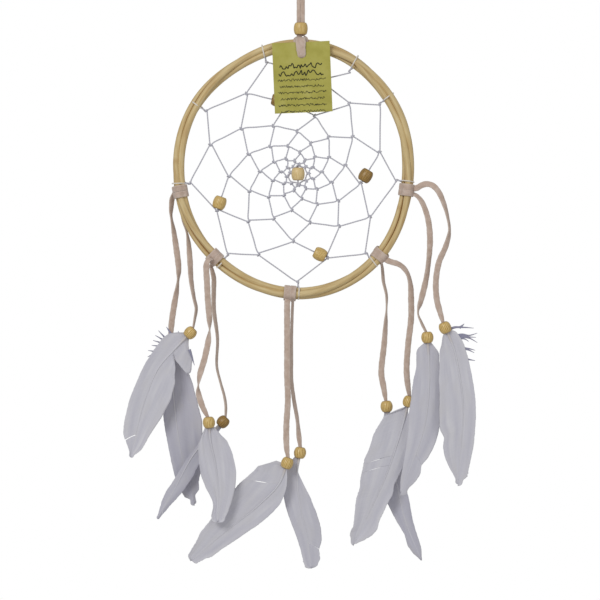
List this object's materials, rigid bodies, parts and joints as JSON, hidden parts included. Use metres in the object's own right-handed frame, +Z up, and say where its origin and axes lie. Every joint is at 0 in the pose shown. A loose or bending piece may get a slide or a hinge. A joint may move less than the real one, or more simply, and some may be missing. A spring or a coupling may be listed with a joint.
{
  "type": "dream catcher",
  "caption": "Hanging ornament: a cane hoop with a knotted thread web, wooden beads, a paper tag, and suede laces that end in beads and feathers.",
  "frame": {"origin": "underside of the hanging loop's crown, where a nail carries it", "axes": "+Z up, +X to the right seen from the front, -Y towards the viewer"},
  "size_m": [0.2315, 0.027, 0.4064],
  "materials": {
    "cane": "twisted natural cane, satin",
    "thread": "waxed two-ply thread",
    "wood": "turned pale wood, light lacquer",
    "suede": "soft suede lace",
    "card": "uncoated card",
    "feather": "soft barbed vane"
  },
  "bodies": {
    "hanging_loop": {"hanging_loop": "suede"},
    "loop_bead": {"loop_bead": "wood"},
    "hoop": {"hoop_cane": "cane", "web_thread": "thread", "top_hitch": "suede", "hitch_left": "suede", "hitch_lower_left": "suede", "hitch_bottom": "suede", "hitch_lower_right": "suede", "hitch_right": "suede"},
    "tag": {"tag": "card"},
    "web_bead_centre": {"web_bead_centre": "wood"},
    "web_bead_upper": {"web_bead_upper": "wood"},
    "web_bead_left": {"web_bead_left": "wood"},
    "web_bead_lower": {"web_bead_lower": "wood"},
    "web_bead_right": {"web_bead_right": "wood"},
    "lace_left_back": {"lace_left_back": "suede"},
    "feather_left_back": {"bead_left_back": "wood", "feather_left_back": "feather"},
    "lace_left_front": {"lace_left_front": "suede"},
    "feather_left_front": {"bead_left_front": "wood", "feather_left_front": "feather"},
    "lace_lower_left_front": {"lace_lower_left_front": "suede"},
    "feather_lower_left_front": {"bead_lower_left_front": "wood", "feather_lower_left_front": "feather"},
    "lace_lower_left_back": {"lace_lower_left_back": "suede"},
    "feather_lower_left_back": {"bead_lower_left_back": "wood", "feather_lower_left_back": "feather"},
    "lace_bottom_front": {"lace_bottom_front": "suede"},
    "feather_bottom_front": {"bead_bottom_front": "wood", "feather_bottom_front": "feather"},
    "lace_bottom_back": {"lace_bottom_back": "suede"},
    "feather_bottom_back": {"bead_bottom_back": "wood", "feather_bottom_back": "feather"},
    "lace_lower_right_back": {"lace_lower_right_back": "suede"},
    "feather_lower_right_back": {"bead_lower_right_back": "wood", "feather_lower_right_back": "feather"},
    "lace_lower_right_front": {"lace_lower_right_front": "suede"},
    "feather_lower_right_front": {"bead_lower_right_front": "wood", "feather_lower_right_front": "feather"},
    "lace_right_front": {"lace_right_front": "suede"},
    "feather_right_front": {"bead_right_front": "wood", "feather_right_front": "feather"},
    "lace_right_inner": {"lace_right_inner": "suede"},
    "feather_right_inner": {"bead_right_inner": "wood", "feather_right_inner": "feather"}
  },
  "joints": [
    {"name": "loop_bead_slide", "type": "slide", "parent": "hanging_loop", "child": "loop_bead", "axis": [0, 0, 1], "range_m": [0, 0.02]},
    {"name": "hoop_swivel", "type": "hinge", "parent": "hanging_loop", "child": "hoop", "pos_m": [0, 0, -0.054], "axis": [0, 0, 1], "range_deg": [-180, 180]},
    {"name": "tag_swing", "type": "hinge", "parent": "hoop", "child": "tag", "pos_m": [0.0005, -0.00635, -0.0666], "axis": [0, 1, 0], "range_deg": [-20, 20]},
    {"name": "web_bead_centre_spin", "type": "hinge", "parent": "hoop", "child": "web_bead_centre", "pos_m": [-0.0018, 0, -0.145], "axis": [0, 0, 1], "continuous": true},
    {"name": "web_bead_upper_spin", "type": "hinge", "parent": "hoop", "child": "web_bead_upper", "pos_m": [-0.01608, 0, -0.09615], "axis": [-0.9757, 0, 0.219], "continuous": true},
    {"name": "web_bead_left_spin", "type": "hinge", "parent": "hoop", "child": "web_bead_left", "pos_m": [-0.05338, 0, -0.1631], "axis": [0.3241, 0, 0.946], "continuous": true},
    {"name": "web_bead_lower_spin", "type": "hinge", "parent": "hoop", "child": "web_bead_lower", "pos_m": [0.01184, 0, -0.19769], "axis": [-0.9021, 0, 0.4315], "continuous": true},
    {"name": "web_bead_right_spin", "type": "hinge", "parent": "hoop", "child": "web_bead_right", "pos_m": [0.04337, 0, -0.1453], "axis": [0.5129, 0, 0.8584], "continuous": true},
    {"name": "lace_left_back_swing", "type": "hinge", "parent": "hoop", "child": "lace_left_back", "pos_m": [-0.0833, 0.0064, -0.157], "axis": [1, 0, 0], "range_deg": [0, 35]},
    {"name": "feather_left_back_swing", "type": "hinge", "parent": "lace_left_back", "child": "feather_left_back", "pos_m": [-0.08663, 0.01, -0.25531], "axis": [1, 0, 0], "range_deg": [0, 20]},
    {"name": "lace_left_front_swing", "type": "hinge", "parent": "hoop", "child": "lace_left_front", "pos_m": [-0.0794, 0.0073, -0.1572], "axis": [0, 1, 0], "range_deg": [-6, 15]},
    {"name": "feather_left_front_swing", "type": "hinge", "parent": "lace_left_front", "child": "feather_left_front", "pos_m": [-0.07044, 0, -0.24733], "axis": [0, 1, 0], "range_deg": [-6, 15]},
    {"name": "lace_lower_left_front_swing", "type": "hinge", "parent": "hoop", "child": "lace_lower_left_front", "pos_m": [-0.0608, -0.0063, -0.2015], "axis": [-1, 0, 0], "range_deg": [0, 35]},
    {"name": "feather_lower_left_front_swing", "type": "hinge", "parent": "lace_lower_left_front", "child": "feather_lower_left_front", "pos_m": [-0.06081, -0.008, -0.30531], "axis": [-1, 0, 0], "range_deg": [0, 20]},
    {"name": "lace_lower_left_back_swing", "type": "hinge", "parent": "hoop", "child": "lace_lower_left_back", "pos_m": [-0.0593, 0.0043, -0.2058], "axis": [0, 1, 0], "range_deg": [-12, 12]},
    {"name": "feather_lower_left_back_swing", "type": "hinge", "parent": "lace_lower_left_back", "child": "feather_lower_left_back", "pos_m": [-0.04894, 0.004, -0.30633], "axis": [0, 1, 0], "range_deg": [-12, 12]},
    {"name": "lace_bottom_front_swing", "type": "hinge", "parent": "hoop", "child": "lace_bottom_front", "pos_m": [-0.0089, -0.0038, -0.2297], "axis": [0, 1, 0], "range_deg": [-8, 12]},
    {"name": "feather_bottom_front_swing", "type": "hinge", "parent": "lace_bottom_front", "child": "feather_bottom_front", "pos_m": [-0.00765, -0.002, -0.33256], "axis": [0, 1, 0], "range_deg": [-8, 12]},
    {"name": "lace_bottom_back_swing", "type": "hinge", "parent": "hoop", "child": "lace_bottom_back", "pos_m": [-0.0053, 0.0038, -0.2297], "axis": [1, 0, 0], "range_deg": [0, 35]},
    {"name": "feather_bottom_back_swing", "type": "hinge", "parent": "lace_bottom_back", "child": "feather_bottom_back", "pos_m": [0.00001, 0.005, -0.32583], "axis": [1, 0, 0], "range_deg": [0, 20]},
    {"name": "lace_lower_right_back_swing", "type": "hinge", "parent": "hoop", "child": "lace_lower_right_back", "pos_m": [0.0531, 0.0065, -0.2026], "axis": [1, 0, 0], "range_deg": [0, 35]},
    {"name": "feather_lower_right_back_swing", "type": "hinge", "parent": "lace_lower_right_back", "child": "feather_lower_right_back", "pos_m": [0.05667, 0.0095, -0.29531], "axis": [1, 0, 0], "range_deg": [0, 20]},
    {"name": "lace_lower_right_front_swing", "type": "hinge", "parent": "hoop", "child": "lace_lower_right_front", "pos_m": [0.0578, -0.0021, -0.2024], "axis": [0, 1, 0], "range_deg": [-10, 12]},
    {"name": "feather_lower_right_front_swing", "type": "hinge", "parent": "lace_lower_right_front", "child": "feather_lower_right_front", "pos_m": [0.07243, 0.001, -0.29192], "axis": [0, 1, 0], "range_deg": [-10, 12]},
    {"name": "lace_right_front_swing", "type": "hinge", "parent": "hoop", "child": "lace_right_front", "pos_m": [0.0769, -0.003, -0.1542], "axis": [-1, 0, 0], "range_deg": [0, 35]},
    {"name": "feather_right_front_swing", "type": "hinge", "parent": "lace_right_front", "child": "feather_right_front", "pos_m": [0.09352, -0.009, -0.24311], "axis": [-1, 0, 0], "range_deg": [0, 20]},
    {"name": "lace_right_inner_swing", "type": "hinge", "parent": "hoop", "child": "lace_right_inner", "pos_m": [0.0766, -0.0013, -0.1593], "axis": [-1, 0, 0], "range_deg": [0, 35]},
    {"name": "feather_right_inner_swing", "type": "hinge", "parent": "lace_right_inner", "child": "feather_right_inner", "pos_m": [0.08328, -0.005, -0.24931], "axis": [-1, 0, 0], "range_deg": [0, 20]}
  ]
}
